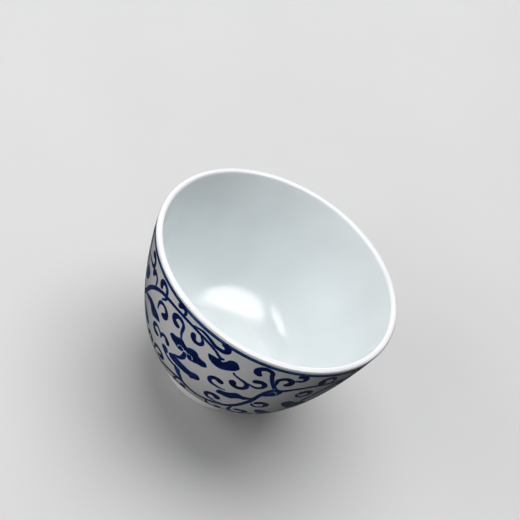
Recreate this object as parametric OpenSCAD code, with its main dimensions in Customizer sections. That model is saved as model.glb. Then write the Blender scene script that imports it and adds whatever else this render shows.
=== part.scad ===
// Small porcelain teacup with a blue scroll painted round the outside.
// Origin: centre of the foot ring's resting face. +Z is up and the front faces -Y.

/* [Bowl] */
// Widest diameter, over the glazed lip
mouth_d = 66; // [60:1:72]
// Length of the wall's curve, from the lip to the middle of the foot
wall_run = 45.4; // [42:0.2:48]
// Lean of the wall at the lip, in degrees inward from vertical
lean_lip = 9.5; // [7:0.5:12]
// Extra lean that the wall gains evenly on its way down
lean_wall = 20.7; // [18:0.1:24]
// Extra lean that the wall gains in the turn to the foot
lean_base = 55; // [50:1:58]
// Thickness at the lip, glaze included
lip_t = 1.7; // [1.2:0.1:2.4]
// Thickness of the wall at the foot, glaze included
base_t = 2.6; // [2.2:0.1:3.2]
// Thickness of the clear glaze
glaze_t = 0.25; // [0.15:0.05:0.4]

/* [Foot] */
// Outside diameter of the foot ring
foot_d = 28.2; // [27:0.1:31]
// Height of the foot ring below the end of the wall's curve
foot_h = 4.2; // [3.8:0.1:6]
// Width of the foot ring
foot_w = 1.8; // [1.4:0.1:2.6]
// Depth of the glazed recess inside the foot ring
recess_depth = 3.2; // [2.4:0.1:3.4]
// Height of the bare, unglazed edge of the foot ring
bare_h = 0.6; // [0.4:0.1:1.2]

/* [Painting] */
// Width of each of the two rings painted under the lip
ring_w = 0.35; // [0.2:0.05:0.6]
// Width of the main vine
vine_w = 0.7; // [0.5:0.1:1]
// Width of a tendril where it leaves the vine
curl_w_root = 0.35; // [0.2:0.05:0.6]
// Width of a tendril at its curled end
curl_w_end = 1; // [0.7:0.1:1.3]
// Height of the painting over the glaze
paint_t = 0.08; // [0.05:0.01:0.12]

/* [Hidden] */
$fn = 180;

mouth_r = mouth_d / 2;
foot_r = foot_d / 2;
lip_r = lip_t / 2;
lip_run = 0.7;                // the wall's curve is counted from just over the lip's shoulder
paste_r = lip_r - glaze_t;
table_steps = 160;
wall_steps = 36;
floor_steps = 10;
lip_steps = 14;
ring_top_s = 0.95;            // distances down the wall of the two rings
ring_gap = 0.3;
paint_gap = 0.01;             // keeps the painted solids just clear of the glaze
paste = "gainsboro";
glaze = "whitesmoke";
cobalt = "midnightblue";
wash = "steelblue";

// ---- the wall's curve ------------------------------------------------------

// Lean from vertical at distance s down the wall
function lean(s) = lean_lip + lean_wall * s / wall_run + lean_base * pow(s / wall_run, 5.4);

// Rows of [distance down the wall, radius, drop], summed along the leaning wall
table_ds = (wall_run - lip_run) / table_steps;
wall_table = [for (i = 0, r = mouth_r - lip_r + lip_r * cos(lean(lip_run)), drop = 0;
    i <= table_steps;
    r = r - table_ds * sin(lean(lip_run + (i + 0.5) * table_ds)),
    drop = drop + table_ds * cos(lean(lip_run + (i + 0.5) * table_ds)),
    i = i + 1) [lip_run + i * table_ds, r, drop]];
radius_table = [for (row = wall_table) [row[0], row[1]]];
drop_table = [for (row = wall_table) [row[0], row[2]]];
run_by_radius = [for (row = wall_table) [-row[1], row[0]]];

shoulder_z = foot_h + wall_table[table_steps][2];
lip_z = shoulder_z + lip_r * sin(lean(lip_run));
foot_s = lookup(-foot_r, run_by_radius);

function wall_radius(s) = lookup(s, radius_table);
function wall_height(s) = shoulder_z - lookup(s, drop_table);

// Point of the wall's section at distance s down it and depth d under its outer face
function wall_point(s, d) = [wall_radius(s) - d * cos(lean(s)), wall_height(s) + d * sin(lean(s))];
function wall_thickness(s) = lip_t + (base_t - lip_t) * pow((s - lip_run) / wall_run, 1.5);
function wall_stop(i) = lip_run + (foot_s - lip_run) * i / wall_steps;

// Outer face, lip to foot, at depth d
function outer_path(d) = [for (i = [0 : wall_steps]) wall_point(wall_stop(i), d)];

// Inner face, lip to the centre of the floor, at depth d under the inner glaze
function inner_wall(d) = [for (i = [0 : wall_steps])
    let (s = wall_stop(i)) wall_point(s, wall_thickness(s) - d)];
function inner_floor(d) = let (edge = wall_point(foot_s, wall_thickness(foot_s) - d),
    sag = edge[0] / tan(lean(foot_s)) / 2)
    [for (i = [1 : floor_steps]) let (f = 1 - i / floor_steps)
        [edge[0] * f, edge[1] - sag * (1 - f * f)]];
function inner_path(d) = concat(inner_wall(d), inner_floor(d));

// Half round over the lip, from the outer face to the inner face
function lip_arc(r) = [for (i = [0 : lip_steps])
    let (a = 180 * i / lip_steps - lean(lip_run))
    [mouth_r - lip_r + r * cos(a), lip_z + r * sin(a)]];

function reversed(list) = [for (i = [len(list) - 1 : -1 : 0]) list[i]];

foot_top = wall_point(foot_s, glaze_t)[1];
recess_r = foot_r - foot_w;

// ---- porcelain and glaze ---------------------------------------------------

module bowl_body() {
    color(paste) rotate_extrude() polygon(concat(
        reversed(outer_path(glaze_t)),
        lip_arc(paste_r),
        inner_path(glaze_t),
        [[0, recess_depth + glaze_t], [recess_r, recess_depth + glaze_t], [recess_r, foot_top]]));
}

module foot_ring() {
    chamfer = 0.35;
    outside = foot_r - glaze_t;
    color(paste) rotate_extrude() polygon([
        [recess_r, foot_top], [recess_r, chamfer], [recess_r + chamfer, 0],
        [outside - chamfer, 0], [outside, chamfer], [outside, foot_top]]);
}

module outer_glaze() {
    color(glaze) rotate_extrude() polygon(concat(
        outer_path(0),
        [[foot_r, bare_h], [foot_r - glaze_t, bare_h], [foot_r - glaze_t, foot_top]],
        reversed(outer_path(glaze_t))));
}

module inner_glaze() {
    color(glaze) rotate_extrude() polygon(concat(inner_path(0), reversed(inner_path(glaze_t))));
}

module lip_glaze() {
    color(glaze) rotate_extrude() polygon(concat(lip_arc(lip_r), reversed(lip_arc(paste_r))));
}

module base_glaze() {
    inside = recess_r - glaze_t;
    color(glaze) rotate_extrude() polygon([
        [0, recess_depth], [inside, recess_depth], [inside, bare_h], [recess_r, bare_h],
        [recess_r, recess_depth + glaze_t], [0, recess_depth + glaze_t]]);
}

// ---- painting --------------------------------------------------------------
// Painted places are [degrees round from the front, mm down the wall].

// Ring painted round the wall between two distances down it
module painted_ring(s, width, tint) {
    color(tint) rotate_extrude() polygon([wall_point(s, -paint_gap), wall_point(s, -paint_t),
        wall_point(s + width, -paint_t), wall_point(s + width, -paint_gap)]);
}

function on_wall(place, lift) = let (p = wall_point(place[1], -lift))
    [p[0] * sin(place[0]), -p[0] * cos(place[0]), p[1]];

// mm round the wall for one degree at a place
function mm_per_degree(place) = wall_radius(place[1]) * PI / 180;

// Smooth curve through hand-set places, with a number of steps between each two
function place_at(list, i) = list[max(0, min(len(list) - 1, i))];
function blend(a, b, c, d, t) = 0.5 * (2 * b + (c - a) * t + (2 * a - 5 * b + 4 * c - d) * t * t
    + (3 * b - a - 3 * c + d) * t * t * t);
function smooth(list, steps) = concat([for (i = [0 : len(list) - 2], k = [0 : steps - 1])
    blend(place_at(list, i - 1), list[i], list[i + 1], place_at(list, i + 2), k / steps)],
    [list[len(list) - 1]]);

// Places along a spiral: centre, outer radius in mm, start angle (0 right, 90 down), sweep
function spiral(centre, r, start, sweep) = let (n = ceil(abs(sweep) / 60))
    [for (i = [0 : n]) let (a = start + sweep * i / n, k = r * (1 - 0.6 * pow(i / n, 1.6)))
        centre + [k * cos(a) / mm_per_degree(centre), k * sin(a)]];

// Half width step across the stroke at place i
function across(path, i, w) = let (m = mm_per_degree(path[i]),
    d = place_at(path, i + 1) - place_at(path, i - 1),
    long = norm([d[0] * m, d[1]])) [-d[1] / m, d[0] * m] * (w / 2 / long);

// One brush stroke: a low ridge along the path, as wide as widths says from start to end
module stroke(path, widths, turn) {
    n = len(path);
    spin = [turn, 0];
    points = [for (i = [0 : n - 1])
        let (step = across(path, i, lookup(i / (n - 1), widths)))
        for (p = [[path[i] - step, paint_gap], [path[i], paint_t], [path[i] + step, paint_gap]])
        on_wall(p[0] + spin, p[1])];
    sides = [for (i = [0 : n - 2], k = [0 : 2])
        let (a = 3 * i + k, b = 3 * i + (k + 1) % 3)
        for (f = [[a, b, a + 3], [b, b + 3, a + 3]]) f];
    polyhedron(points, concat([[0, 2, 1]], sides, [[3 * n - 3, 3 * n - 2, 3 * n - 1]]));
}

// The scroll is four scenes of 90 degrees: a left part, a core, a side part, and the core again.
core_turns = [0, 90, 180, 270];
half_turns = [0, 180];

// The main vine swings low under the stacked heads, climbs, arches over and ends in a hanging head
trough = [[-42, 34], [-30, 32], [-20, 30.5], [-12, 29.8], [-7, 30.8], [0, 31.4], [5, 31.3], [12, 30],
    [18, 28.4], [22, 25.5]];
arch_left = [[-65, 21.5], [-60, 18.8], [-56, 16.2], [-52, 12.8], [-46, 9], [-40, 6.5], [-34, 5.2],
    [-26, 4.4], [-18, 4.2], [-10, 4.7], [-4, 5.8], [-1, 6.8]];
arch_side = [[25, 21], [25.7, 18], [26.5, 15.5], [28, 12.8], [30, 11.5], [34, 11], [38, 9.6], [44, 7.9],
    [50, 6.9], [60, 6.4], [70, 5.6], [80, 5.2], [86, 5.8], [89, 6.8]];
trough_before = [for (p = trough) p - [90, 0]];
stem_between_heads = [[-15.5, 17.2], [-16, 18.8], [-18, 20], [-20.5, 20.7]];
stem_to_vine = [[-16.5, 25.7], [-14.5, 27.3], [-12.5, 28.7]];
stem_to_side_head = [[61, 7.2], [58, 9.5], [55, 11.5], [53, 14], [52, 16], [52.5, 18]];

module vine_stems() {
    even = [[0, vine_w * 0.6], [0.1, vine_w], [0.9, vine_w], [1, vine_w * 0.7]];
    color(cobalt) for (turn = half_turns) {
        stroke(smooth(concat(trough_before, arch_left), 2), even, turn);
        stroke(smooth(concat(trough, arch_side), 2), even, turn);
        stroke(smooth(stem_to_side_head, 2), even, turn);
    }
    color(wash) for (turn = core_turns) {
        stroke(smooth(stem_between_heads, 2), [[0, 1], [1, 0.5]], turn);
        stroke(smooth(stem_to_vine, 2), [[0, 1.8], [1, 0.8]], turn);
    }
}

// Each curl: centre, outer radius in mm, start angle, sweep, and the places its tail comes from
curls_left = [
    [[-55.5, 4.5], 1.7, 90, -230, [[-61, 6.5]]],
    [[-49.3, 6.9], 1.4, 0, -200, [[-46.3, 8.2]]],
    [[-39.5, 4.5], 2.1, 10, -250, [[-36, 5.2]]],
    [[-35.7, 11], 2.2, 180, 270, [[-40.5, 13]]],
    [[-38.2, 20.6], 1.6, -20, -290, [[-34, 20]]],
    [[-29.3, 19.6], 1.4, 180, 200, [[-32.5, 20.8]]],
    [[-33, 28.5], 1.8, 180, 270, [[-39, 31]]],
    [[-45, 28.5], 1.3, 180, 220, [[-49, 30]]],
];
curls_core = [
    [[-25.3, 2.9], 1.2, 0, -190, []],
    [[-24.8, 8], 1.9, 0, -290, [[-20.5, 11], [-21.2, 9.6]]],
    [[-13.3, 7.1], 1.6, -40, 260, [[-12.5, 5.2]]],
    [[-1, 3.1], 1.2, 90, -210, [[-13, 3], [-8, 3.6], [-4, 4.3]]],
    [[3.6, 17.6], 1.7, 80, 250, [[9, 19.7]]],
    [[21, 10.5], 1.6, 100, -250, []],
    [[13.8, 14], 2, -40, 300, [[9, 10.3], [12, 11.2], [15.5, 11.9]]],
    [[19, 4.4], 2, 10, -280, [[25, 7.6], [24, 5.8]]],
    [[7.5, 26.2], 1.9, 80, 320, [[12, 28.5]]],
    [[-13, 33.3], 1.3, 190, -250, [[-15.5, 31.5]]],
    [[12, 33.3], 1.3, 180, -260, [[7, 31.9]]],
];
curls_side = [
    [[30.8, 6.5], 1.9, 150, 270, [[28.5, 9.8]]],
    [[36.1, 3.5], 1.15, 100, -250, [[33.5, 4.6]]],
    [[46, 12], 1.7, 210, -370, []],
    [[50.5, 4.4], 1.8, 20, -250, [[53.5, 5.7]]],
    [[31.8, 21.7], 1.7, 150, -290, []],
    [[64, 12.8], 1.6, 160, -300, []],
    [[26, 31.2], 1.9, 180, -310, [[20.3, 29]]],
    [[34.5, 32.6], 1.6, 180, -190, []],
];

module curl(spec, turn) {
    path = concat(spec[4], spiral(spec[0], spec[1], spec[2], spec[3]));
    stroke(smooth(path, 2), [[0, curl_w_root], [0.5, curl_w_end * 0.7], [0.9, curl_w_end],
        [1, curl_w_end * 0.7]], turn);
}

module tendril_curls() {
    color(cobalt) {
        for (turn = half_turns, spec = concat(curls_left, curls_side)) curl(spec, turn);
        for (turn = core_turns, spec = curls_core) curl(spec, turn);
    }
}

// Each leaf: its midrib, tip to stalk, and its greatest width
leaves_left = [
    [[[-36.5, 16], [-41, 15.6], [-46, 15.4], [-51, 16.5], [-55.5, 17.9]], 2],
    [[[-46, 24.6], [-50, 24], [-54, 22.8], [-58, 21.8]], 2.6],
    [[[-57, 12], [-59.5, 12.2], [-62, 13.2], [-63, 15]], 2.6],
];
leaves_core = [[[[7.5, 21.8], [11, 21.4], [15, 20.7], [20, 19.7], [24.3, 18.8]], 2.4]];
leaves_side = [
    [[[33.5, 12.4], [31, 12.9], [28.5, 14], [27.7, 16]], 2.6],
    [[[34, 26.6], [38, 27.4], [42, 27.8], [46, 28.8]], 2.4],
    [[[43, 31.2], [47, 32], [51, 33.2], [54, 34.8]], 2.2],
];

module leaf(spec, turn) {
    w = spec[1];
    stroke(smooth(spec[0], 3), [[0, w * 0.3], [0.2, w * 0.8], [0.45, w], [1, 0.4]], turn);
}

module leaves() {
    color(wash) {
        for (turn = half_turns, spec = concat(leaves_left, leaves_side)) leaf(spec, turn);
        for (turn = core_turns, spec = leaves_core) leaf(spec, turn);
    }
}

// Each lobe of a lingzhi head: its middle line and its width at the start, middle and end
heads_core = [
    [[[-5.5, 8.8], [-1, 9.6], [4, 9], [8.5, 7.2]], [1, 2.4, 1.6]],
    [[[-26.5, 14.6], [-23, 14.2], [-20, 14], [-16.3, 14.2]], [1, 3.6, 3]],
    [[[-3.5, 14.4], [-7, 14], [-10, 13.9], [-14.3, 14.2]], [1, 3.6, 3]],
    [[[-24, 22.3], [-17, 22.5], [-10, 22.6], [-3.5, 22]], [1.2, 3, 1.2]],
    [[[-30, 22.2], [-27.5, 22.8], [-25, 24.5], [-21.5, 25], [-18.5, 25.1]], [1, 1.2, 0.7]],
];
heads_side = [[[[41.5, 18.6], [45, 20], [50, 21.1], [56.5, 21.4]], [1.4, 3.2, 1.2]]];

module lobe(spec, turn) {
    w = spec[1];
    stroke(smooth(spec[0], 3), [[0, w[0]], [0.25, w[1] * 0.9], [0.5, w[1]], [1, w[2]]], turn);
}

module lingzhi_heads() {
    color(wash) {
        for (turn = half_turns, spec = heads_side) lobe(spec, turn);
        for (turn = core_turns, spec = heads_core) lobe(spec, turn);
    }
}

module rim_line_upper() {
    painted_ring(ring_top_s, ring_w, wash);
}

module rim_line_lower() {
    painted_ring(ring_top_s + ring_w + ring_gap, ring_w, wash);
}

module foot_line() {
    painted_ring(foot_s - ring_w - 0.6, ring_w, wash);
}

bowl_body();
foot_ring();
outer_glaze();
inner_glaze();
lip_glaze();
base_glaze();
rim_line_upper();
rim_line_lower();
foot_line();
vine_stems();
tendril_curls();
leaves();
lingzhi_heads();
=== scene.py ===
"""Small porcelain teacup with a blue lingzhi scroll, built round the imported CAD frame.

Sizes are in millimetres here and become metres when a mesh is made. A painted place is
(degrees round from the front, mm down the wall), as in the part's own source.
"""

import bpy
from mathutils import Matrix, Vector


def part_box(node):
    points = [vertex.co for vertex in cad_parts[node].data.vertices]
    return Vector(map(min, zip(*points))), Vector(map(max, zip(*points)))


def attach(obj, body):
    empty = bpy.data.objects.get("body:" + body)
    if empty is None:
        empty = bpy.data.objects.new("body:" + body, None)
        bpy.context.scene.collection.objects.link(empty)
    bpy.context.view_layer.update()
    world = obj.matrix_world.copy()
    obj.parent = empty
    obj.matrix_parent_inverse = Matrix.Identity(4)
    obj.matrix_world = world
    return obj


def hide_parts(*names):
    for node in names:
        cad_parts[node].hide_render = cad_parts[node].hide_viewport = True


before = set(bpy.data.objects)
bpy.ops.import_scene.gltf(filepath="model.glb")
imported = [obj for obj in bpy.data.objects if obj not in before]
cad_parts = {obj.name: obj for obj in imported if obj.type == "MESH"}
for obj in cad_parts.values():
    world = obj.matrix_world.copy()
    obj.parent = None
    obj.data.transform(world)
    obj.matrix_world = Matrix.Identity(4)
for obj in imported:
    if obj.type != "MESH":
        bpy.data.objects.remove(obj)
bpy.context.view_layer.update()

import math

import bpy
import numpy as np
from mathutils import Matrix, Vector

MM = 0.001

# ---- sizes, from the frame where it has them -----------------------------------------

LIP_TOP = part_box("lip_glaze")[1].z / MM
MOUTH_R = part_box("lip_glaze")[1].x / MM
FOOT_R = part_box("foot_ring")[1].x / MM
RECESS_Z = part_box("base_glaze")[1].z / MM
BARE_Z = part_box("outer_glaze")[0].z / MM
GLAZE_T = 0.25           # thickness of the clear glaze
LIP_T = 1.7              # wall thickness at the lip, glaze included
BASE_T = 2.6             # wall thickness at the foot, glaze included
FOOT_W = 1.8             # width of the foot ring
LIP_RUN = 0.7            # distance down the wall where the lip ends; painting stays below it
LIP_SQUARE = 0.8         # 1 would be a half round lip
LIP_FLAT = 0.04          # share by which the lip's top is pressed down
WALL_RUN = 45.4          # length of the wall's curve
LEAN_AT_LIP = 9.5        # degrees from vertical
LEAN_GAIN = 20.7         # further degrees, gained evenly down the wall
TURN_IN = 55             # further degrees, gained mostly near the foot
TURN_IN_POWER = 5.4
THICKEN_POWER = 1.5      # how late the wall thickens on its way down
TURN_IN_RUN = 1.3        # last part of the wall, which rounds into the foot
TURN_IN_ROUND = 0.9      # reach of that rounding
FOOT_ROUND = 0.42        # reach of the rounding of the foot ring's edges
RECESS_ROUND = 0.6       # reach of the rounding inside the foot ring
OVERLAP = 0.02           # how far a glaze reaches into the paste, out of sight
TABLE_PLACES = 1601      # places in the table of the wall's curve
SEAM_STEP = 0.01         # short first and last step of a profile
SEGMENTS = 512           # steps round the glazed surfaces
PASTE_SEGMENTS = 256     # steps round the paste, which the glaze hides
FLOOR_RINGS = 28         # rings of the inner floor
SMOOTH_ANGLE = 35        # degrees; sharper edges than this stay sharp
CORE_TURNS = (0, 90, 180, 270)       # degrees at which the scroll's core is painted
HALF_TURNS = (0, 180)                # and the parts to its left and right


# ---- the wall's curve ----------------------------------------------------------------

def lean(s):
    """Lean of the wall from vertical, in radians, at distance s down it."""
    f = np.asarray(s, float) / WALL_RUN
    turn_in = TURN_IN * np.clip(f, 0, None) ** TURN_IN_POWER
    return np.radians(LEAN_AT_LIP + LEAN_GAIN * f + turn_in)


def wall_tables():
    """Distance down the wall, radius and height, summed along the leaning wall."""
    s = np.linspace(LIP_RUN, WALL_RUN, TABLE_PLACES)
    middle = (s[1:] + s[:-1]) / 2
    step = s[1] - s[0]
    lip_r = LIP_T / 2
    top_lean = lean(LIP_RUN)
    start_r = MOUTH_R - lip_r + lip_r * math.cos(top_lean)
    start_z = LIP_TOP - lip_r * (1 + math.sin(top_lean))
    radius = start_r - np.concatenate([[0], np.cumsum(np.sin(lean(middle)) * step)])
    height = start_z - np.concatenate([[0], np.cumsum(np.cos(lean(middle)) * step)])
    return s, radius, height


TABLE_S, TABLE_R, TABLE_Z = wall_tables()
FOOT_OUT = FOOT_R + GLAZE_T
FOOT_S = float(np.interp(-FOOT_OUT, -TABLE_R, TABLE_S))
RECESS_R = FOOT_OUT - FOOT_W


def wall_point(s, depth=0.0):
    """(radius, height) of the wall's section at distance s down it and a depth under its face."""
    radius = np.interp(s, TABLE_S, TABLE_R) - depth * np.cos(lean(s))
    height = np.interp(s, TABLE_S, TABLE_Z) + depth * np.sin(lean(s))
    return np.stack([radius, height], -1)


PASTE_FOOT_Z = wall_point(FOOT_S, GLAZE_T)[1]


def wall_thickness(s):
    """Thickness with both glazes at distance s down the wall."""
    return LIP_T + (BASE_T - LIP_T) * ((s - LIP_RUN) / WALL_RUN) ** THICKEN_POWER


def mm_per_degree(s):
    return np.interp(s, TABLE_S, TABLE_R) * math.pi / 180


def stops(first, last, count):
    """Distances with a very short first and last step, so that seams shade as the true curve."""
    inner = np.linspace(first, last, count)[1:-1]
    return np.concatenate([[first, first + SEAM_STEP], inner, [last - SEAM_STEP, last]])


# ---- profiles of the turned pieces ---------------------------------------------------

def outer_path(depth, count=150):
    """Outer face at a depth under the outer glaze's own face, from the lip to the foot."""
    return wall_point(stops(LIP_RUN, FOOT_S, count), depth)


def inner_path(depth, count=130):
    """Inner face at a depth under the inner glaze, from the lip to the centre of the floor."""
    s = stops(LIP_RUN, FOOT_S, count)[:-2]
    wall = wall_point(s, wall_thickness(s) - depth)
    edge = wall_point(FOOT_S, wall_thickness(FOOT_S) - depth)
    sag = edge[0] / math.tan(lean(FOOT_S)) / 2
    f = np.linspace(1, 0, FLOOR_RINGS)
    floor = np.stack([edge[0] * f, edge[1] - sag * (1 - f * f)], -1)
    return np.concatenate([wall, floor])


def lip_arc(radius, flat=0.0, count=48):
    """Rounded top of the lip, a little squarer than a half round, from outer to inner face."""
    angle = np.radians(stops(0, 180, count))
    across, up = np.cos(angle), np.sin(angle)
    x = radius * np.sign(across) * np.abs(across) ** LIP_SQUARE
    z = radius * np.abs(up) ** LIP_SQUARE * (1 - flat)
    tilt = lean(LIP_RUN)
    centre = (MOUTH_R - LIP_T / 2, LIP_TOP - LIP_T / 2)
    return np.stack([centre[0] + x * np.cos(tilt) + z * np.sin(tilt),
                     centre[1] - x * np.sin(tilt) + z * np.cos(tilt)], -1)


def rounded(points, radius, count=6):
    """A polyline whose inner corners become round, by a quadratic curve at each."""
    points = [np.array(p, float) for p in points]
    out = [points[0]]
    for before, corner, after in zip(points, points[1:], points[2:]):
        reach = min(radius, np.linalg.norm(corner - before) / 2, np.linalg.norm(after - corner) / 2)
        a = corner + (before - corner) / np.linalg.norm(before - corner) * reach
        b = corner + (after - corner) / np.linalg.norm(after - corner) * reach
        for t in np.linspace(0, 1, count):
            out.append(a * (1 - t) ** 2 + corner * 2 * t * (1 - t) + b * t * t)
    out.append(points[-1])
    return np.array(out)


# ---- making meshes -------------------------------------------------------------------

def new_piece(name, vertices, faces, material, node):
    """A mesh piece in metres that rides on the root body and stands for a CAD node."""
    mesh = bpy.data.meshes.new(name)
    mesh.from_pydata((np.asarray(vertices) * MM).tolist(), [], faces)
    mesh.polygons.foreach_set("use_smooth", [True] * len(mesh.polygons))
    mesh.set_sharp_from_angle(angle=math.radians(SMOOTH_ANGLE))
    mesh.materials.append(material)
    mesh.update()
    piece = bpy.data.objects.new(name, mesh)
    bpy.context.scene.collection.objects.link(piece)
    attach(piece, "root")
    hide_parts(node)
    return piece


def loft_faces(rings, segments, joined):
    """Quads between neighbouring rings, and from the last ring to the first if they are joined."""
    faces = []
    for i in range(rings if joined else rings - 1):
        a = i * segments
        b = (i + 1) % rings * segments
        for k in range(segments):
            n = (k + 1) % segments
            faces.append((a + k, b + k, b + n, a + n))
    return faces


def pole_faces(rings, segments):
    """Triangles from the first and the last ring to two poles that come after all the rings."""
    first_pole = rings * segments
    low = first_pole - segments
    faces = []
    for k in range(segments):
        n = (k + 1) % segments
        faces.append((first_pole, k, n))
        faces.append((low + n, low + k, first_pole + 1))
    return faces


def turned(name, profile, material, node, segments=SEGMENTS):
    """Closed solid of revolution. A profile that starts and ends on the axis gets two poles."""
    profile = np.asarray(profile, float)
    poles = profile[0, 0] < 1e-6 and profile[-1, 0] < 1e-6
    rings = profile[1:-1] if poles else profile
    angle = np.linspace(0, 2 * math.pi, segments, endpoint=False)
    grid = np.stack([rings[:, None, 0] * np.sin(angle), -rings[:, None, 0] * np.cos(angle),
                     np.repeat(rings[:, 1:], segments, 1)], -1)
    vertices = grid.reshape(-1, 3)
    faces = loft_faces(len(rings), segments, joined=not poles)
    if poles:
        ends = [[0, 0, profile[0, 1]], [0, 0, profile[-1, 1]]]
        vertices = np.concatenate([vertices, ends])
        faces += pole_faces(len(rings), segments)
    return new_piece(name, vertices, faces, material, node)


# ---- brush strokes on the wall -------------------------------------------------------

LIFT = 0.003             # least height of the painting over the glaze
RAISE = 0.010            # further height where the ink is full, so darker strokes lie on top
SINK = 0.05              # depth of the hidden underside
HALO = 0.20              # width of the pale fringe that a filled shape bleeds past its outline
SOFT = 0.15              # half the width of a stroke's soft edge
PITCH = 0.28             # spacing of the cross sections along a stroke
CAP_PLACES = (0.0, 0.02, 0.07, 0.15, 0.26)   # mm from a stroke's end, for its round cap
CAP_RUN = 0.4            # where the even spacing starts
SECTION_INK = (0, 0.3, 0.75, 1, 0.94, 0.92, 0.94, 1, 0.75, 0.3, 0)   # across a stroke
WIDTH_SWING = 0.10       # share by which a stroke's width comes and goes
INK_SWING = 0.08
CURL_IN = 0.6            # share of its radius that a full curl closes by
CURL_FULL = 300          # degrees of sweep that make a full curl
CURL_POWER = 1.6         # how late a curl closes
CURL_STEP = 30           # degrees between a curl's places
BAND_PITCH = 0.2         # spacing of the cross sections along a filled shape
BAND_COLUMNS = 25
BAND_EASE = 0.4          # how much closer the cross sections lie near the tips
COLUMN_EASE = 0.5        # how much closer the columns lie near the edges
RIM_DEPTHS = (0, 0.12, 0.34, 0.50)   # mm inside a filled shape's outline
RIM_INK = (0, 0.28, 0.40, 1)         # share of full ink there
EDGE_DARK = 0.42         # depth of the dark edge of a filled shape
EDGE_FADE = 0.45         # width over which the dark edge becomes the inner wash
WASH_LEAST = 0.76        # share of the inner wash where its streaks are palest
WASH_STREAK = 0.42       # further share where they are darkest
ARCH_WIDTH = 0.30        # half the width of a bare arch
ARCH_BARE = 0.9          # share of ink that a bare arch lacks
RING_DRIFT = ((2, 40, 0.03), (5, 0, 0.02))    # a ring's waves: times round, start, mm
RING_SWING = ((7, 15, 0.10), (19, 0, 0.06))   # and the same for its ink


def on_wall(places, lift):
    """Points in mm over the wall at (degrees, mm) places."""
    p = wall_point(places[..., 1], -lift)
    turn = np.radians(places[..., 0])
    return np.stack([p[..., 0] * np.sin(turn), -p[..., 0] * np.cos(turn), p[..., 1]], -1)


def wall_normals(places):
    tilt, turn = lean(places[..., 1]), np.radians(places[..., 0])
    out = np.cos(tilt)
    return np.stack([out * np.sin(turn), -out * np.cos(turn), -np.sin(tilt)], -1)


def catmull_rom(points, per_span=14):
    points = np.asarray(points, float)
    padded = np.concatenate([points[:1], points, points[-1:]])
    t = np.linspace(0, 1, per_span, endpoint=False)[:, None]
    out = []
    for a, b, c, d in zip(padded, padded[1:], padded[2:], padded[3:]):
        out.append(0.5 * (2 * b + (c - a) * t + (2 * a - 5 * b + 4 * c - d) * t ** 2
                          + (3 * b - a - 3 * c + d) * t ** 3))
    return np.concatenate(out + [points[-1:]])


def lengths(path):
    """Distance in mm from the path's start to each of its places."""
    step = np.diff(path, axis=0)
    scale = mm_per_degree((path[1:, 1] + path[:-1, 1]) / 2)
    return np.concatenate([[0], np.cumsum(np.hypot(step[:, 0] * scale, step[:, 1]))])


def resampled(path, distances):
    run = lengths(path)
    return np.stack([np.interp(distances, run, path[:, k]) for k in (0, 1)], -1)


def spiral(centre, radius, start, sweep):
    """Places along a closing spiral; the start angle is 0 to the right and 90 down the wall."""
    count = math.ceil(abs(sweep) / CURL_STEP)
    f = np.linspace(0, 1, count + 1)
    angle = np.radians(start + sweep * f)
    curl_in = CURL_IN * min(1, abs(sweep) / CURL_FULL)
    reach = radius * (1 - curl_in * f ** CURL_POWER)
    scale = mm_per_degree(centre[1])
    return np.stack([centre[0] + reach * np.cos(angle) / scale,
                     centre[1] + reach * np.sin(angle)], -1)


def wobble(distance, seed):
    """Slow uneven swing between about -1 and 1, the same every time for a seed."""
    return (0.5 * np.sin(distance * 0.9 + seed * 1.7) + 0.3 * np.sin(distance * 2.3 + seed * 4.1)
            + 0.2 * np.sin(distance * 5.1 + seed * 2.9))


def eased(count, share):
    """Shares from 0 to 1 that lie closer together near both ends."""
    swing = (1 - np.cos(np.linspace(0, math.pi, count))) / 2
    return (1 - share) * np.linspace(0, 1, count) + share * swing


def stroke_stops(run):
    """Distances along a stroke: close together in its round caps and even between them."""
    caps = np.array(CAP_PLACES)
    inner = np.linspace(CAP_RUN, run - CAP_RUN, max(2, int(run / PITCH)))
    return np.concatenate([caps, inner, run - caps[::-1]])


def side_steps(line):
    """Step to the side of a line, one mm long and square to it, at each of its places."""
    scale = mm_per_degree(line[:, 1])
    along = np.gradient(line, axis=0) * np.stack([scale, np.ones_like(scale)], -1)
    along /= np.maximum(np.linalg.norm(along, axis=1, keepdims=True), 1e-9)
    return np.stack([-along[:, 1] / scale, along[:, 0]], -1)


def section_offsets(half):
    """Distances in mm from a stroke's middle line to its columns, which crowd at its edges."""
    soft = np.minimum(SOFT, half * 0.8)
    reach = [half + soft, half + 0.45 * soft, half - 0.1 * soft, half - 0.7 * soft, half * 0.3]
    return np.stack([-x for x in reach] + [np.zeros_like(half)] + reach[::-1], -1)


def band_edges(upper, lower):
    """Smooth edges of a filled shape, moved out by the fringe, and the shares along them."""
    edges = [catmull_rom(e) for e in (upper, lower)]
    rows = max(24, int(lengths(edges[0])[-1] / BAND_PITCH))
    f = eased(rows, BAND_EASE)
    top, bottom = [resampled(e, f * lengths(e)[-1]) for e in edges]
    top[:, 1] -= HALO
    bottom[:, 1] += HALO
    return top, bottom, f


def bare_share(places, gaps):
    """Share of ink left by the bare arches; each gap is (degrees, mm, radius)."""
    left = np.ones(places.shape[:2])
    for place_t, place_s, radius in gaps:
        dx = (places[..., 0] - place_t) * mm_per_degree(place_s)
        dy = places[..., 1] - place_s
        off = np.abs(np.hypot(dx, dy) - radius)
        line = np.clip(1 - off / ARCH_WIDTH, 0, 1)
        upper = np.clip(1.3 - 2 * dy / radius, 0, 1)     # the arch fades out below its middle
        left *= 1 - ARCH_BARE * np.clip(1.6 * line * upper, 0, 1)
    return left


def ring_waves(angle, waves):
    return sum(size * np.sin(np.radians(angle * times + start)) for times, start, size in waves)


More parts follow.
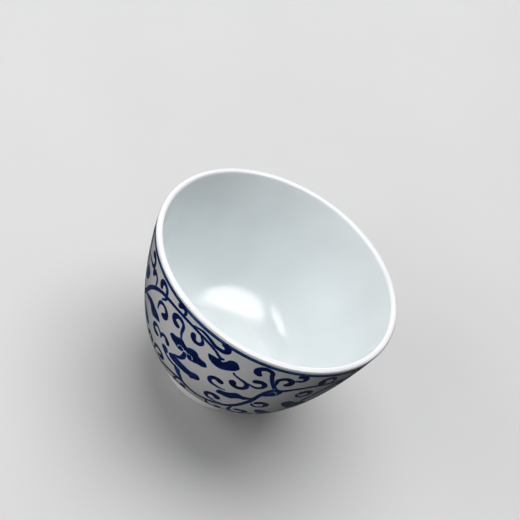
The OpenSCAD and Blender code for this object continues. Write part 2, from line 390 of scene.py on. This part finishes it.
def sheet_faces(base, rows, columns, closed):
    """Faces of a sheet: its top, both sides and underside, and its ends unless it is closed."""
    under = base + rows * columns
    last = columns - 1
    faces = []

    def t(i, k):
        return base + i % rows * columns + k

    def u(i, k):
        return under + i % rows * 2 + k

    for i in range(rows if closed else rows - 1):
        for k in range(last):
            faces.append((t(i, k), t(i, k + 1), t(i + 1, k + 1), t(i + 1, k)))
        faces.append((u(i, 0), t(i, 0), t(i + 1, 0), u(i + 1, 0)))
        faces.append((t(i, last), u(i, 1), u(i + 1, 1), t(i + 1, last)))
        faces.append((u(i, 1), u(i, 0), u(i + 1, 0), u(i + 1, 1)))
    if not closed:
        end = rows - 1
        faces.append((u(0, 0), u(0, 1), *[t(0, k) for k in range(last, -1, -1)]))
        faces.append((u(end, 1), u(end, 0), *[t(end, k) for k in range(columns)]))
    return faces


def faces_inwards(places):
    """Whether a sheet's rows and columns run so that its top would face the wall."""
    row, column = places.shape[0] // 2, places.shape[1] // 2
    along = places[row + 1, column] - places[row, column]
    across = places[row, column + 1] - places[row, column]
    return along[0] * across[1] - along[1] * across[0] < 0


class Painting:
    """Gathers brush strokes and makes them one mesh piece."""

    def __init__(self):
        self.points, self.normals, self.inks, self.faces = [], [], [], []
        self.count = 0

    def add_sheet(self, places, ink, closed=False):
        """A grid of places, rows along the stroke and columns across it, with a hidden underside."""
        rows, columns = ink.shape
        sides = places[:, [0, -1]]
        self.points.append(on_wall(places, LIFT + RAISE * ink).reshape(-1, 3))
        self.points.append(on_wall(sides, np.full((rows, 2), -SINK)).reshape(-1, 3))
        self.normals.append(wall_normals(places).reshape(-1, 3))
        self.normals.append(wall_normals(sides).reshape(-1, 3))
        self.inks += [ink.reshape(-1), np.zeros(rows * 2)]
        faces = sheet_faces(self.count, rows, columns, closed)
        if faces_inwards(places):
            faces = [face[::-1] for face in faces]
        self.faces += faces
        self.count += rows * columns + rows * 2

    def stroke(self, path, widths, inks, turn=0, seed=0):
        """A stroke along a smooth path. widths and inks are (share of length, value) pairs."""
        run = lengths(path)[-1]
        distance = stroke_stops(run)
        line = resampled(path, distance)
        f = distance / run
        half = np.interp(f, *zip(*widths)) / 2 * (1 + WIDTH_SWING * wobble(distance, seed))
        ends = np.clip(np.minimum(distance, run - distance) / half, 0, 1)
        offset = section_offsets(half * np.sqrt(1 - (1 - ends) ** 2))
        density = np.interp(f, *zip(*inks)) * (1 + INK_SWING * wobble(distance, seed + 5))
        places = line[:, None] + side_steps(line)[:, None] * offset[..., None]
        places[..., 0] += turn
        ink = np.clip(density[:, None] * np.array(SECTION_INK), 0, 1)
        ink[[0, -1]] = 0
        self.add_sheet(places, ink)

    def band(self, upper, lower, wash, edge, turn=0, seed=0, gaps=()):
        """A filled shape between two edges that nearly meet at their tips: a pale fringe, then a
        dark edge, and the streaky wash inside, with bare arches round its small inner lobes."""
        top, bottom, f = band_edges(upper, lower)
        gap = bottom - top
        width = np.maximum(np.hypot(gap[:, 0] * mm_per_degree(top[:, 1]), gap[:, 1]), 0.02)
        v = eased(BAND_COLUMNS, COLUMN_EASE)
        places = top[:, None] * (1 - v[:, None]) + bottom[:, None] * v[:, None]
        tip = np.minimum(f, 1 - f) * lengths(top)[-1]
        inside = np.minimum(np.minimum(v, 1 - v) * width[:, None], tip[:, None])
        rim = np.interp(inside, RIM_DEPTHS, RIM_INK)
        x = places[..., 0] * mm_per_degree(places[..., 1])
        streak = 0.5 + 0.5 * wobble(x * 1.3 + places[..., 1] * 0.7, seed)
        inner = wash * (WASH_LEAST + WASH_STREAK * streak)
        fill = edge + (inner - edge) * np.clip((inside - EDGE_DARK) / EDGE_FADE, 0, 1)
        fill = fill * bare_share(places, gaps)
        places[..., 0] += turn
        self.add_sheet(places, np.clip(rim * fill, 0, 1))

    def ring(self, section, count=900):
        """A line right round the wall; section is (mm down, ink) pairs."""
        angle = np.linspace(0, 360, count, endpoint=False)
        s, ink = np.array(section).T
        places = np.empty((count, len(s), 2))
        places[..., 0] = angle[:, None]
        places[..., 1] = s + ring_waves(angle, RING_DRIFT)[:, None]
        swing = 1 + ring_waves(angle, RING_SWING)
        self.add_sheet(places, np.clip(ink * swing[:, None], 0, 1), closed=True)

    def piece(self, name, material, node, slot):
        made = new_piece(name, np.concatenate(self.points), self.faces, material, node)
        ink = made.data.attributes.new("ink", "FLOAT", "POINT")
        ink.data.foreach_set("value", np.concatenate(self.inks).astype(np.float32))
        made.data.normals_split_custom_set_from_vertices(np.concatenate(self.normals).tolist())
        return made


# ---- the scroll ----------------------------------------------------------------------
# The scroll repeats at each half turn, with a left part and a side part. The core, with its two
# heads one over the other, comes between them and so at each quarter turn.

TROUGH = [(-42, 34), (-30, 32), (-20, 30.5), (-12, 29.9), (-7, 30.9), (0, 31.5), (5, 31.2), (12, 30),
          (18, 28.4), (22, 25.5)]
ARCH_LEFT = [(-64.5, 21.5), (-60, 19), (-56, 16.2), (-52, 12.8), (-46, 9), (-40, 6.5), (-34, 5.2),
             (-26, 4.4), (-18, 4.2), (-10, 4.7), (-4, 5.8), (-0.5, 7.1), (2, 7.1)]
ARCH_SIDE = [(25, 21), (25.8, 18), (26.5, 15.5), (28, 12.8), (30, 11.5), (34, 11), (38, 9.6),
             (44, 7.9), (50, 6.9), (60, 6.4), (70, 5.6), (80, 5.2), (86, 5.9), (89.5, 7.1), (92, 7.1)]
TROUGH_BEFORE = [(t - 90, s) for t, s in TROUGH]
STEM_TO_SIDE_HEAD = [(62, 6.5), (58, 9.5), (55, 11.5), (53, 14), (52, 16), (52, 18.6)]
STEM_BETWEEN_HEADS = [(-15.5, 15.4), (-15.4, 17.2), (-16, 18.5), (-17.5, 19.7), (-19.8, 20.4),
                      (-21.5, 21.2)]
STEM_TO_VINE = [(-17, 24.6), (-16, 26.3), (-14, 27.8), (-11.5, 29.3), (-9, 30.4)]

# Each curl: centre, radius in mm, start angle, sweep, and the places its tail comes from
CURLS_LEFT = [
    ((-55.8, 4.5), 1.9, 90, -260, [(-63, 7), (-59, 6.6)]),
    ((-49.2, 6.9), 1.6, -10, -210, [(-46.2, 8.8)]),
    ((-39.8, 4.6), 1.8, 0, -245, [(-38.8, 8.4), (-35.9, 6.3)]),
    ((-35.6, 11.1), 2.3, 180, 285, [(-39.8, 13)]),
    ((-37.0, 20.4), 1.9, -40, -290, [(-32.6, 20.4), (-33.8, 19)]),
    ((-29.3, 19.6), 1.55, 180, 215, [(-32.6, 20.9)]),
    ((-32.8, 28.5), 2.1, 190, 300, [(-39.2, 31)]),
    ((-44.5, 28.3), 1.5, 180, 240, [(-49, 31)]),
]
CURLS_CORE = [
    ((-25.3, 2.9), 1.3, 0, -205, [(-23.6, 4.4)]),
    ((-24.9, 8), 2.05, -10, -310, [(-19.5, 12.6), (-21, 10.4)]),
    ((-13.2, 6.9), 1.8, -50, 285, [(-12.6, 4.5)]),
    ((-1.2, 3.1), 1.35, 90, -230, [(-18, 4), (-12.5, 2.9), (-8, 3.5), (-4.5, 4.4)]),
    ((4.5, 17.8), 1.95, 80, 280, [(11, 19.6), (7.5, 19.9)]),
    ((21, 10.6), 1.95, 110, -290, [(16.6, 11.8)]),
    ((13.6, 13.9), 2.15, -40, 255, [(8.4, 9.8), (9.4, 10.6), (12, 11.2), (15.5, 11.9)]),
    ((19.3, 4.95), 2.25, 0, -275, [(29, 11), (25.8, 8), (24.3, 6.2)]),
    ((8.0, 26.5), 1.95, 85, 300, [(15, 28.4), (11, 28.9)]),
    ((-13, 33.2), 1.8, 190, -270, [(-14, 30.2), (-16.9, 31.8)]),
    ((13, 33.5), 1.8, 190, -270, [(6.4, 31.3), (7.6, 32.6), (8.6, 33.8)]),
]
CURLS_SIDE = [
    ((30.9, 6.6), 2.15, 150, 300, [(31.2, 11), (27.9, 9.3)]),
    ((36.1, 3.5), 1.4, 100, -270, [(31.5, 4.8), (33.8, 5.1)]),
    ((46, 12), 2.05, 180, -385, []),
    ((50.6, 4.9), 2.15, 10, -270, [(54.2, 7)]),
    ((31.6, 21.6), 2.05, 180, -375, []),
    ((62, 30.2), 1.7, 160, -300, []),
    ((27, 30.6), 2.4, 170, -330, [(20.6, 27.2), (20.9, 29)]),
    ((35, 33), 1.7, 160, -250, []),
]

# Each band: upper edge, lower edge, inner ink, rim ink, and bare arches
LEAVES_LEFT = [
    ([(-58.5, 18), (-55, 16.7), (-51.5, 15.3), (-48, 14.3), (-45, 14.1), (-42.5, 14.3), (-40, 14.5),
      (-37.5, 15.1), (-35.6, 16)],
     [(-58.5, 18.2), (-54, 17.5), (-50, 16.7), (-47, 16.8), (-45.5, 17.7), (-43, 18.2), (-41, 17.7),
      (-38.5, 17), (-35.6, 16.3)], 0.95, 1, []),
    ([(-59, 21.8), (-56, 21.2), (-52, 21.8), (-49, 22.8), (-46.5, 24)],
     [(-59, 22.1), (-56, 23.8), (-52.5, 25.2), (-49.5, 25.6), (-46.5, 24.3)], 0.5, 0.75, []),
    ([(-64.2, 14.6), (-64, 12), (-62.2, 10.3), (-59, 9.4), (-55.5, 9.8)],
     [(-64.2, 14.8), (-61, 14.4), (-58, 13.4), (-56, 11.8), (-55.5, 10)], 0.6, 0.95, []),
]
LEAVES_CORE = [
    ([(25.3, 18.3), (22.5, 18.9), (19.5, 19), (17.5, 18.6), (15.5, 18.8), (13.5, 19.8), (11, 20.5),
      (8.5, 20.8), (7.2, 21.8)],
     [(25.3, 18.9), (22.5, 20.7), (20, 21.1), (18, 21.8), (16.5, 22.7), (14, 23), (11, 22.9),
      (8.5, 22.9), (7.2, 22.1)], 0.95, 1, []),
]
LEAVES_SIDE = [
    ([(26.8, 15.8), (27, 13.3), (28.8, 11.8), (31.5, 10.9), (34.5, 11.2)],
     [(26.8, 16.3), (30, 15.4), (32.6, 14.6), (34.3, 13), (34.5, 11.4)], 0.7, 1,
     [(30.6, 13.2, 0.9)]),
    ([(33.5, 26.3), (36, 25.6), (40, 26.3), (44, 27.3), (48, 28.8)],
     [(33.5, 26.7), (36, 28.4), (40, 29.8), (44, 30.2), (48, 29)], 0.85, 0.95, []),
    ([(42, 31), (46, 30.8), (50, 31.8), (55, 34)],
     [(42, 31.4), (45, 33.6), (50, 35.3), (55, 34.3)], 0.75, 0.95, []),
]
HEADS_CORE = [
    ([(-5.8, 8.6), (-3, 8.1), (0, 8.1), (1.8, 8.2), (2.8, 7.4), (3.6, 6.2), (5.5, 5.4), (7.5, 5.7),
      (9.6, 7.2)],
     [(-5.8, 8.8), (-4.3, 10.3), (-1.6, 11.2), (1.2, 11.5), (4, 11), (6.6, 10), (8.7, 8.8),
      (9.8, 7.4)], 1.02, 1, []),
    ([(-27, 14.5), (-25.5, 13.4), (-23, 13), (-21, 12.2), (-19, 11.9), (-17.3, 12.5), (-15.8, 12.9),
      (-14.3, 12.2), (-12, 11.6), (-10, 11.7), (-8.5, 12.6), (-6.5, 12.9), (-4.5, 13), (-2.8, 14.2)],
     [(-27, 14.7), (-25, 15.7), (-22, 16.2), (-19.5, 16.6), (-17.3, 16.2), (-16.2, 15), (-15.4, 14.7),
      (-14.6, 15), (-14.2, 16.2), (-12.5, 16.9), (-9.5, 16.4), (-7, 15.7), (-4.8, 15.4),
      (-2.8, 14.4)], 1, 1, [(-18.3, 15.7, 1.05), (-12.6, 15.7, 0.95)]),
    ([(-24.5, 22.3), (-22.5, 21.2), (-19.5, 20.7), (-16, 20.9), (-12.5, 21), (-9.5, 21.2),
      (-7.5, 20.8), (-5.5, 20.4), (-3.5, 20.8), (-2.6, 21.8)],
     [(-24.5, 22.6), (-23, 23.5), (-19.5, 23.9), (-15.5, 23.9), (-12, 24), (-9.5, 23.8),
      (-7.5, 24.2), (-5.5, 23.5), (-3.8, 22.9), (-2.4, 22)], 0.9, 1, []),
    ([(-30.6, 22.4), (-29.5, 21.7), (-27.5, 21.3), (-25.8, 21.7), (-24.8, 22.6)],
     [(-30.6, 22.8), (-29.5, 23.7), (-27.8, 24), (-26, 23.8), (-24.8, 22.9)], 0.65, 0.9, []),
]
HEADS_SIDE = [
    ([(41, 18.6), (42.5, 17.4), (45, 17.3), (47.5, 18), (50, 18.4), (53, 18.6), (57, 19.6),
      (59, 20.8)],
     [(41, 18.9), (43, 20.4), (46, 21.8), (49, 23.2), (52, 23.8), (55.5, 23.2), (59, 21.1)],
     0.8, 0.95, [(46.5, 19.9, 0.9)]),
]
# Short strokes that go with the heads: places, width and ink
HEAD_STROKES = [
    ([(-29.5, 22.6), (-28.2, 23.6), (-26.5, 24.3), (-24, 24.9), (-20.5, 25.2), (-17, 25)], 1.1, 1),
    ([(-0.4, 7.0), (0.0, 7.7), (-0.2, 8.8)], 0.9, 1),
]


# Widths and inks along each kind of stroke: (share of its length, value) pairs
VINE_WIDTHS = [(0, 0.5), (0.05, 1.2), (0.35, 1.35), (0.5, 1.2), (0.7, 1.0), (0.95, 0.9), (1, 0.8)]
VINE_INKS = [(0, 0.9), (0.3, 1), (0.6, 0.85), (0.8, 0.9), (1, 1)]
BETWEEN_WIDTHS = [(0, 1), (0.3, 1.4), (0.7, 1), (1, 0.6)]
BETWEEN_INKS = [(0, 0.9), (1, 0.7)]
ROOT_WIDTHS = [(0, 2.4), (0.4, 1.7), (0.7, 1), (1, 0.7)]
ROOT_INKS = [(0, 0.55), (0.4, 0.75), (1, 0.95)]
CURL_WIDTHS = [(0, 0.45), (0.25, 0.85), (0.6, 1.25), (0.82, 1.6), (0.92, 1.95), (0.97, 1.8),
               (1, 1.2)]
CURL_INKS = [(0, 0.7), (0.3, 0.9), (0.8, 1), (1, 1)]


def paint_vines(material):
    art = Painting()
    for turn in HALF_TURNS:
        for n, course in enumerate((TROUGH_BEFORE + ARCH_LEFT, TROUGH + ARCH_SIDE)):
            art.stroke(catmull_rom(course), VINE_WIDTHS, VINE_INKS, turn, seed=turn + n)
        art.stroke(catmull_rom(STEM_TO_SIDE_HEAD), VINE_WIDTHS, VINE_INKS, turn, seed=turn + 3)
    for turn in CORE_TURNS:
        between = catmull_rom(STEM_BETWEEN_HEADS)
        art.stroke(between, BETWEEN_WIDTHS, BETWEEN_INKS, turn, seed=turn + 5)
        art.stroke(catmull_rom(STEM_TO_VINE), ROOT_WIDTHS, ROOT_INKS, turn, seed=turn + 6)
    return art.piece("vine_painting", material, "vine_stems", "vine_blue")


def paint_curls(material):
    art = Painting()
    places = [(turn, curl) for turn in HALF_TURNS for curl in CURLS_LEFT + CURLS_SIDE]
    places += [(turn, curl) for turn in CORE_TURNS for curl in CURLS_CORE]
    for seed, (turn, (centre, radius, start, sweep, tail)) in enumerate(places):
        course = tail + [tuple(p) for p in spiral(centre, radius, start, sweep)]
        art.stroke(catmull_rom(course, 6), CURL_WIDTHS, CURL_INKS, turn, seed)
    return art.piece("curl_painting", material, "tendril_curls", "curl_blue")


def paint_bands(name, halves, cores, strokes, material, node, slot):
    """One piece of filled shapes at the half turns and the quarter turns, and their strokes."""
    art = Painting()
    places = [(turn, band) for turn in HALF_TURNS for band in halves]
    places += [(turn, band) for turn in CORE_TURNS for band in cores]
    for seed, (turn, (upper, lower, wash, edge, gaps)) in enumerate(places):
        art.band(upper, lower, wash, edge, turn, seed, gaps)
    for seed, (course, width, ink) in enumerate(strokes):
        for turn in CORE_TURNS:
            art.stroke(catmull_rom(course), [(0, width * 0.5), (0.6, width), (1, width * 0.8)],
                       [(0, ink), (1, ink)], turn, seed + turn)
    return art.piece(name, material, node, slot)


def paint_ring(name, section, material, node):
    art = Painting()
    art.ring(section)
    return art.piece(name, material, node, "ring_blue")


# ---- materials -----------------------------------------------------------------------

class Nodes:
    """Short way to add shader nodes to a new material."""

    def __init__(self, name):
        self.material = bpy.data.materials.new(name)
        self.material.use_nodes = True
        self.tree = self.material.node_tree
        self.shader = self.tree.nodes["Principled BSDF"]
        self.place = self.add("ShaderNodeTexCoord").outputs["Object"]

    def add(self, kind, inputs=(), **settings):
        node = self.tree.nodes.new(kind)
        for key, value in settings.items():
            setattr(node, key, value)
        for key, value in dict(inputs).items():
            self.put(node.inputs[key], value)
        return node

    def put(self, socket, value):
        if isinstance(value, bpy.types.NodeSocket):
            self.tree.links.new(value, socket)
        else:
            socket.default_value = value

    def noise(self, scale, detail=3.0, roughness=0.5):
        """Noise over the piece; scale is in waves per metre."""
        return self.add("ShaderNodeTexNoise", {"Vector": self.place, "Scale": scale, "Detail": detail,
                        "Roughness": roughness}).outputs["Fac"]

    def range(self, value, low, high, to_low, to_high, smooth=False):
        node = self.add("ShaderNodeMapRange", {"Value": value, "From Min": low, "From Max": high,
                        "To Min": to_low, "To Max": to_high})
        if smooth:
            node.interpolation_type = "SMOOTHSTEP"
        return node.outputs["Result"]

    def math(self, operation, a, b):
        return self.add("ShaderNodeMath", {0: a, 1: b}, operation=operation).outputs[0]

    def mix(self, share, a, b):
        node = self.add("ShaderNodeMix", data_type="RGBA")
        for socket, value in zip((node.inputs[0], node.inputs[6], node.inputs[7]), (share, a, b)):
            self.put(socket, value)
        return node.outputs[2]

    def ramp(self, value, stops):
        node = self.add("ShaderNodeValToRGB", {"Fac": value})
        elements = node.color_ramp.elements
        while len(elements) < len(stops):
            elements.new(0.5)
        for element, (position, colour) in zip(elements, stops):
            element.position = position
            element.color = (*colour, 1)
        return node.outputs["Color"]

    def bump(self, height, strength, distance, normal=None):
        node = self.add("ShaderNodeBump", {"Height": height, "Strength": strength,
                        "Distance": distance})
        if normal is not None:
            self.put(node.inputs["Normal"], normal)
        return node.outputs["Normal"]

    def finish(self, colour, roughness, normal):
        self.put(self.shader.inputs["Base Color"], colour)
        self.put(self.shader.inputs["Roughness"], roughness)
        self.put(self.shader.inputs["Normal"], normal)
        return self.material


def porcelain_tone(n, light, shade):
    """White body seen through clear glaze, with broad soft drifts of tone."""
    drift = n.range(n.noise(55, 2), 0.35, 0.65, 0, 1, smooth=True)
    return n.mix(drift, (*shade, 1), (*light, 1))


def gloss(n, colour, ior, low=0.07, high=0.13):
    """A clear glaze over a colour: faint long waves, fine orange peel and a high polish."""
    waves = n.bump(n.noise(150, 2), 0.16, 0.0006)
    peel = n.bump(n.noise(900, 2), 0.05, 0.00005, waves)
    roughness = n.range(n.noise(260, 4), 0.3, 0.7, low, high)
    n.shader.inputs["IOR"].default_value = ior
    return n.finish(colour, roughness, peel)


# Light and shaded tone of each glazed surface, between which the tone drifts at random. The lip's
# tones are lighter than the rest of the same glaze: painted light on the lit lip.
OUTER_WHITE = ((0.78, 0.77, 0.76), (0.72, 0.71, 0.71))
INNER_WHITE = ((0.78, 0.82, 0.83), (0.74, 0.78, 0.79))
# painted light: the lip's white is lighter than the other glazes, standing in for the light on the
# lip
LIT_LIP_WHITE = ((0.90, 0.90, 0.92), (0.86, 0.86, 0.88))
BASE_WHITE = ((0.78, 0.80, 0.79), (0.72, 0.74, 0.74))


def glaze_material(name, tones, ior=1.5, low=0.07, high=0.13):
    n = Nodes(name)
    return gloss(n, porcelain_tone(n, *tones), ior, low, high)


# Ink density and the colour it has under the glaze, in linear light
COBALT = ((0.0, (0.22, 0.42, 0.62)), (0.28, (0.03, 0.17, 0.42)), (0.55, (0.0, 0.040, 0.23)),
          (0.8, (0.0, 0.010, 0.10)), (1.0, (0.0, 0.002, 0.045)))
FULL_COVER = 0.34        # density from which no white shows through


def cobalt_material(name):
    """Cobalt under the glaze: the mesh's ink sets how dark it is, with blots and bleeding edges."""
    n = Nodes(name)
    ink = n.add("ShaderNodeAttribute", attribute_name="ink").outputs["Fac"]
    blots = n.range(n.noise(1500, 3, 0.6), 0.3, 0.7, 0.78, 1.16)
    drift = n.range(n.noise(330, 2), 0.3, 0.7, 0.88, 1.08)
    density = n.math("MULTIPLY", n.math("MULTIPLY", ink, blots), drift)
    cover = n.range(density, 0, FULL_COVER, 0, 1, smooth=True)
    return gloss(n, n.mix(cover, porcelain_tone(n, *OUTER_WHITE), n.ramp(density, COBALT)), 1.4)


PASTE_DARK = (0.70, 0.66, 0.60, 1)
PASTE_LIGHT = (0.80, 0.77, 0.72, 1)
PASTE_SPECK = (0.35, 0.28, 0.22, 1)


def paste_material(name):
    """Bare fired porcelain: matt, faintly warm, with a fine grain and a few dark specks."""
    n = Nodes(name)
    tone = n.mix(n.range(n.noise(160, 4), 0.35, 0.65, 0, 1), PASTE_DARK, PASTE_LIGHT)
    specks = n.range(n.noise(2600, 1), 0.74, 0.80, 0, 0.5)
    colour = n.mix(specks, tone, PASTE_SPECK)
    grain = n.bump(n.noise(5200, 5, 0.7), 0.5, 0.00004)
    rings = n.bump(n.noise(600, 3), 0.3, 0.00006, grain)
    return n.finish(colour, n.range(n.noise(1800, 4), 0.3, 0.7, 0.55, 0.8), rings)


# ---- the cup -------------------------------------------------------------------------

def make_body(material):
    underside = [(RECESS_R, PASTE_FOOT_Z), (RECESS_R, RECESS_Z), (0, RECESS_Z)]
    profile = np.concatenate([inner_path(GLAZE_T)[::-1], lip_arc(LIP_T / 2 - GLAZE_T)[::-1],
                              outer_path(GLAZE_T), underside])
    return turned("bowl_paste", profile, material, "bowl_body", PASTE_SEGMENTS)


def make_foot(material):
    side = rounded([(FOOT_R, PASTE_FOOT_Z), (FOOT_R, 0), (RECESS_R, 0), (RECESS_R, PASTE_FOOT_Z)],
                   FOOT_ROUND)
    return turned("foot_ring_paste", side, material, "foot_ring")


def make_outer_glaze(material):
    start = wall_point(FOOT_S - TURN_IN_RUN)
    wall = outer_path(0, count=110)
    wall = wall[wall[:, 1] > start[1]]
    inside = FOOT_R - OVERLAP
    turn_in = rounded([start, wall_point(FOOT_S), (FOOT_OUT, BARE_Z), (inside, BARE_Z)],
                      TURN_IN_ROUND, count=10)
    back = outer_path(GLAZE_T + OVERLAP, count=30)[::-1]
    profile = np.concatenate([wall, turn_in, [(inside, PASTE_FOOT_Z)], back])
    return turned("outer_glaze_skin", profile, material, "outer_glaze")


def make_inner_glaze(material):
    back = inner_path(GLAZE_T + OVERLAP, count=24)
    profile = np.concatenate([inner_path(0, count=100)[::-1], back])
    return turned("inner_glaze_skin", profile, material, "inner_glaze")


def make_lip_glaze(material):
    back = lip_arc(LIP_T / 2 - GLAZE_T - OVERLAP, count=20)
    profile = np.concatenate([lip_arc(LIP_T / 2, LIP_FLAT)[::-1], back])
    return turned("lip_glaze_bead", profile, material, "lip_glaze")


def make_base_glaze(material):
    inside = RECESS_R - GLAZE_T
    low = RECESS_Z - GLAZE_T
    face = rounded([(inside, BARE_Z), (inside, low), (0, low)], RECESS_ROUND, count=10)
    profile = np.concatenate([[(0, RECESS_Z), (RECESS_R, RECESS_Z), (RECESS_R, BARE_Z)], face])
    return turned("base_glaze_skin", profile, material, "base_glaze")


# The painted rings: (mm down the wall, ink) pairs
UPPER_RING = [(0.76, 0), (0.81, 0.5), (0.88, 0.95), (1.06, 1.0), (1.15, 0.45), (1.27, 0.32)]
LOWER_RING = [(1.27, 0.32), (1.39, 0.45), (1.48, 0.95), (1.80, 1.0), (1.90, 0.5), (2.02, 0)]
FOOT_RING_LINE = [(FOOT_S - 1.55, 0), (FOOT_S - 1.42, 0.4), (FOOT_S - 1.3, 0.6),
                  (FOOT_S - 1.15, 0.55), (FOOT_S - 1.02, 0)]


def make_cup():
    make_body(paste_material("porcelain_paste"))
    make_foot(paste_material("bare_foot"))
    make_outer_glaze(glaze_material("outer_glaze", OUTER_WHITE, 1.4))
    make_inner_glaze(glaze_material("inner_glaze", INNER_WHITE, 1.6, 0.12, 0.20))
    # the lip's lighter white is painted light on the lit lip
    make_lip_glaze(glaze_material("lip_glaze", LIT_LIP_WHITE))
    make_base_glaze(glaze_material("base_glaze", BASE_WHITE))
    cobalt = cobalt_material("cobalt_painting")
    paint_ring("rim_ring_upper", UPPER_RING, cobalt, "rim_line_upper")
    paint_ring("rim_ring_lower", LOWER_RING, cobalt, "rim_line_lower")
    paint_ring("foot_ring_line", FOOT_RING_LINE, cobalt, "foot_line")
    paint_vines(cobalt)
    paint_curls(cobalt)
    paint_bands("leaf_painting", LEAVES_LEFT + LEAVES_SIDE, LEAVES_CORE, [], cobalt, "leaves",
                "leaf_blue")
    paint_bands("head_painting", HEADS_SIDE, HEADS_CORE, HEAD_STROKES, cobalt, "lingzhi_heads",
                "head_blue")


# ---- stage, light and camera ---------------------------------------------------------

VIEW_ELEVATION = 40.6    # degrees above the plane of the rim
VIEW_ROLL = 33.2         # the cup lies over to the left, so the camera is rolled
VIEW_DISTANCE = 496.5    # mm from the middle of the mouth
VIEW_OFFSET = (-4.8, 1.75)   # mm that the camera stands off the mouth's middle, right and up
MOUTH_PLANE = 42.15      # height of the middle of the mouth
LENS = 138               # mm
WORLD_COLOUR = (0.88, 0.92, 1.0, 1)
WORLD_STRENGTH = 0.05
CUP_MIDDLE = Vector((0, 0, 0.03))    # metres; what the soft boxes face
FLOOR_HALF = 3.0         # metres
FLOOR_DARK = (0.60, 0.60, 0.60, 1)
FLOOR_LIGHT = (0.63, 0.63, 0.63, 1)

# Each soft box: name, azimuth and elevation in degrees, distance and size in metres, watts,
# and what it shows as. A "wash" lights surfaces but makes no highlight, and a "glint" makes
# only the highlight, so that the two can be set apart.
SOFT_BOXES = [
    ("overhead", 110, 68, 0.9, (1.2, 1.0), 10.6, "wash"),
    ("left_wash", -112, 4, 0.9, (0.7, 0.30), 2.3, "wash"),
    ("back_fill", 85, 10, 0.9, (0.9, 0.35), 1.8, "wash"),
    ("left_key", -137, 30, 0.8, (0.85, 0.36), 2.2, "both"),
    ("left_glint", -142, 26, 0.8, (1.00, 0.36), 4.8, "glint"),
    ("front_card", -46, 58, 0.8, (1.5, 1.25), 11, "glint"),
    ("front_glint", -52, 57, 0.8, (1.10, 0.74), 8, "glint"),
]


def make_camera():
    """Camera at the photo's angle; the photo shows the cup tipped, so the camera is rolled."""
    turn = Matrix.Rotation(math.radians(90 - VIEW_ELEVATION), 4, "X")
    turn = turn @ Matrix.Rotation(math.radians(VIEW_ROLL), 4, "Z")
    eye = Vector((0, 0, MOUTH_PLANE)) + turn.to_3x3() @ Vector((*VIEW_OFFSET, VIEW_DISTANCE))
    data = bpy.data.cameras.new("camera")
    data.lens = LENS
    data.clip_start = 0.01
    camera = bpy.data.objects.new("camera", data)
    camera.matrix_world = Matrix.Translation(eye * MM) @ turn
    bpy.context.scene.collection.objects.link(camera)
    bpy.context.scene.camera = camera


def floor_material():
    n = Nodes("floor")
    tone = n.mix(n.range(n.noise(9, 3), 0.3, 0.7, 0, 1), FLOOR_DARK, FLOOR_LIGHT)
    return n.finish(tone, n.range(n.noise(30, 3), 0.3, 0.7, 0.55, 0.65),
                    n.bump(n.noise(800, 3), 0.05, 0.0001))


def make_floor():
    """A plain floor that neither mirrors in the glaze nor throws light back on the cup."""
    mesh = bpy.data.meshes.new("floor")
    corners = [(x * FLOOR_HALF, y * FLOOR_HALF, 0) for x, y in ((-1, -1), (1, -1), (1, 1), (-1, 1))]
    mesh.from_pydata(corners, [], [(0, 1, 2, 3)])
    mesh.materials.append(floor_material())
    floor = bpy.data.objects.new("floor", mesh)
    floor.visible_glossy = False
    floor.visible_diffuse = False
    bpy.context.scene.collection.objects.link(floor)


def soft_box(name, azimuth, elevation, distance, size, power, shows):
    """An oval light that stands in a direction seen from the cup and faces it."""
    flat = math.cos(math.radians(elevation))
    way = Vector((flat * math.cos(math.radians(azimuth)), flat * math.sin(math.radians(azimuth)),
                  math.sin(math.radians(elevation))))
    data = bpy.data.lights.new(name, "AREA")
    data.shape = "ELLIPSE"
    data.size, data.size_y = size
    data.energy = power
    light = bpy.data.objects.new(name, data)
    light.location = way * distance + CUP_MIDDLE
    light.rotation_euler = (-way).to_track_quat("-Z", "Y").to_euler()
    light.visible_diffuse = shows != "glint"
    light.visible_glossy = shows != "wash"
    bpy.context.scene.collection.objects.link(light)


def make_lights():
    """Dim light from all round, the soft boxes, and plain colours as the camera sees them."""
    world = bpy.data.worlds.new("studio")
    world.use_nodes = True
    background = world.node_tree.nodes["Background"]
    background.inputs["Color"].default_value = WORLD_COLOUR
    background.inputs["Strength"].default_value = WORLD_STRENGTH
    bpy.context.scene.world = world
    bpy.context.scene.view_settings.view_transform = "Standard"
    for box in SOFT_BOXES:
        soft_box(*box)


make_camera()
make_floor()
make_lights()
make_cup()
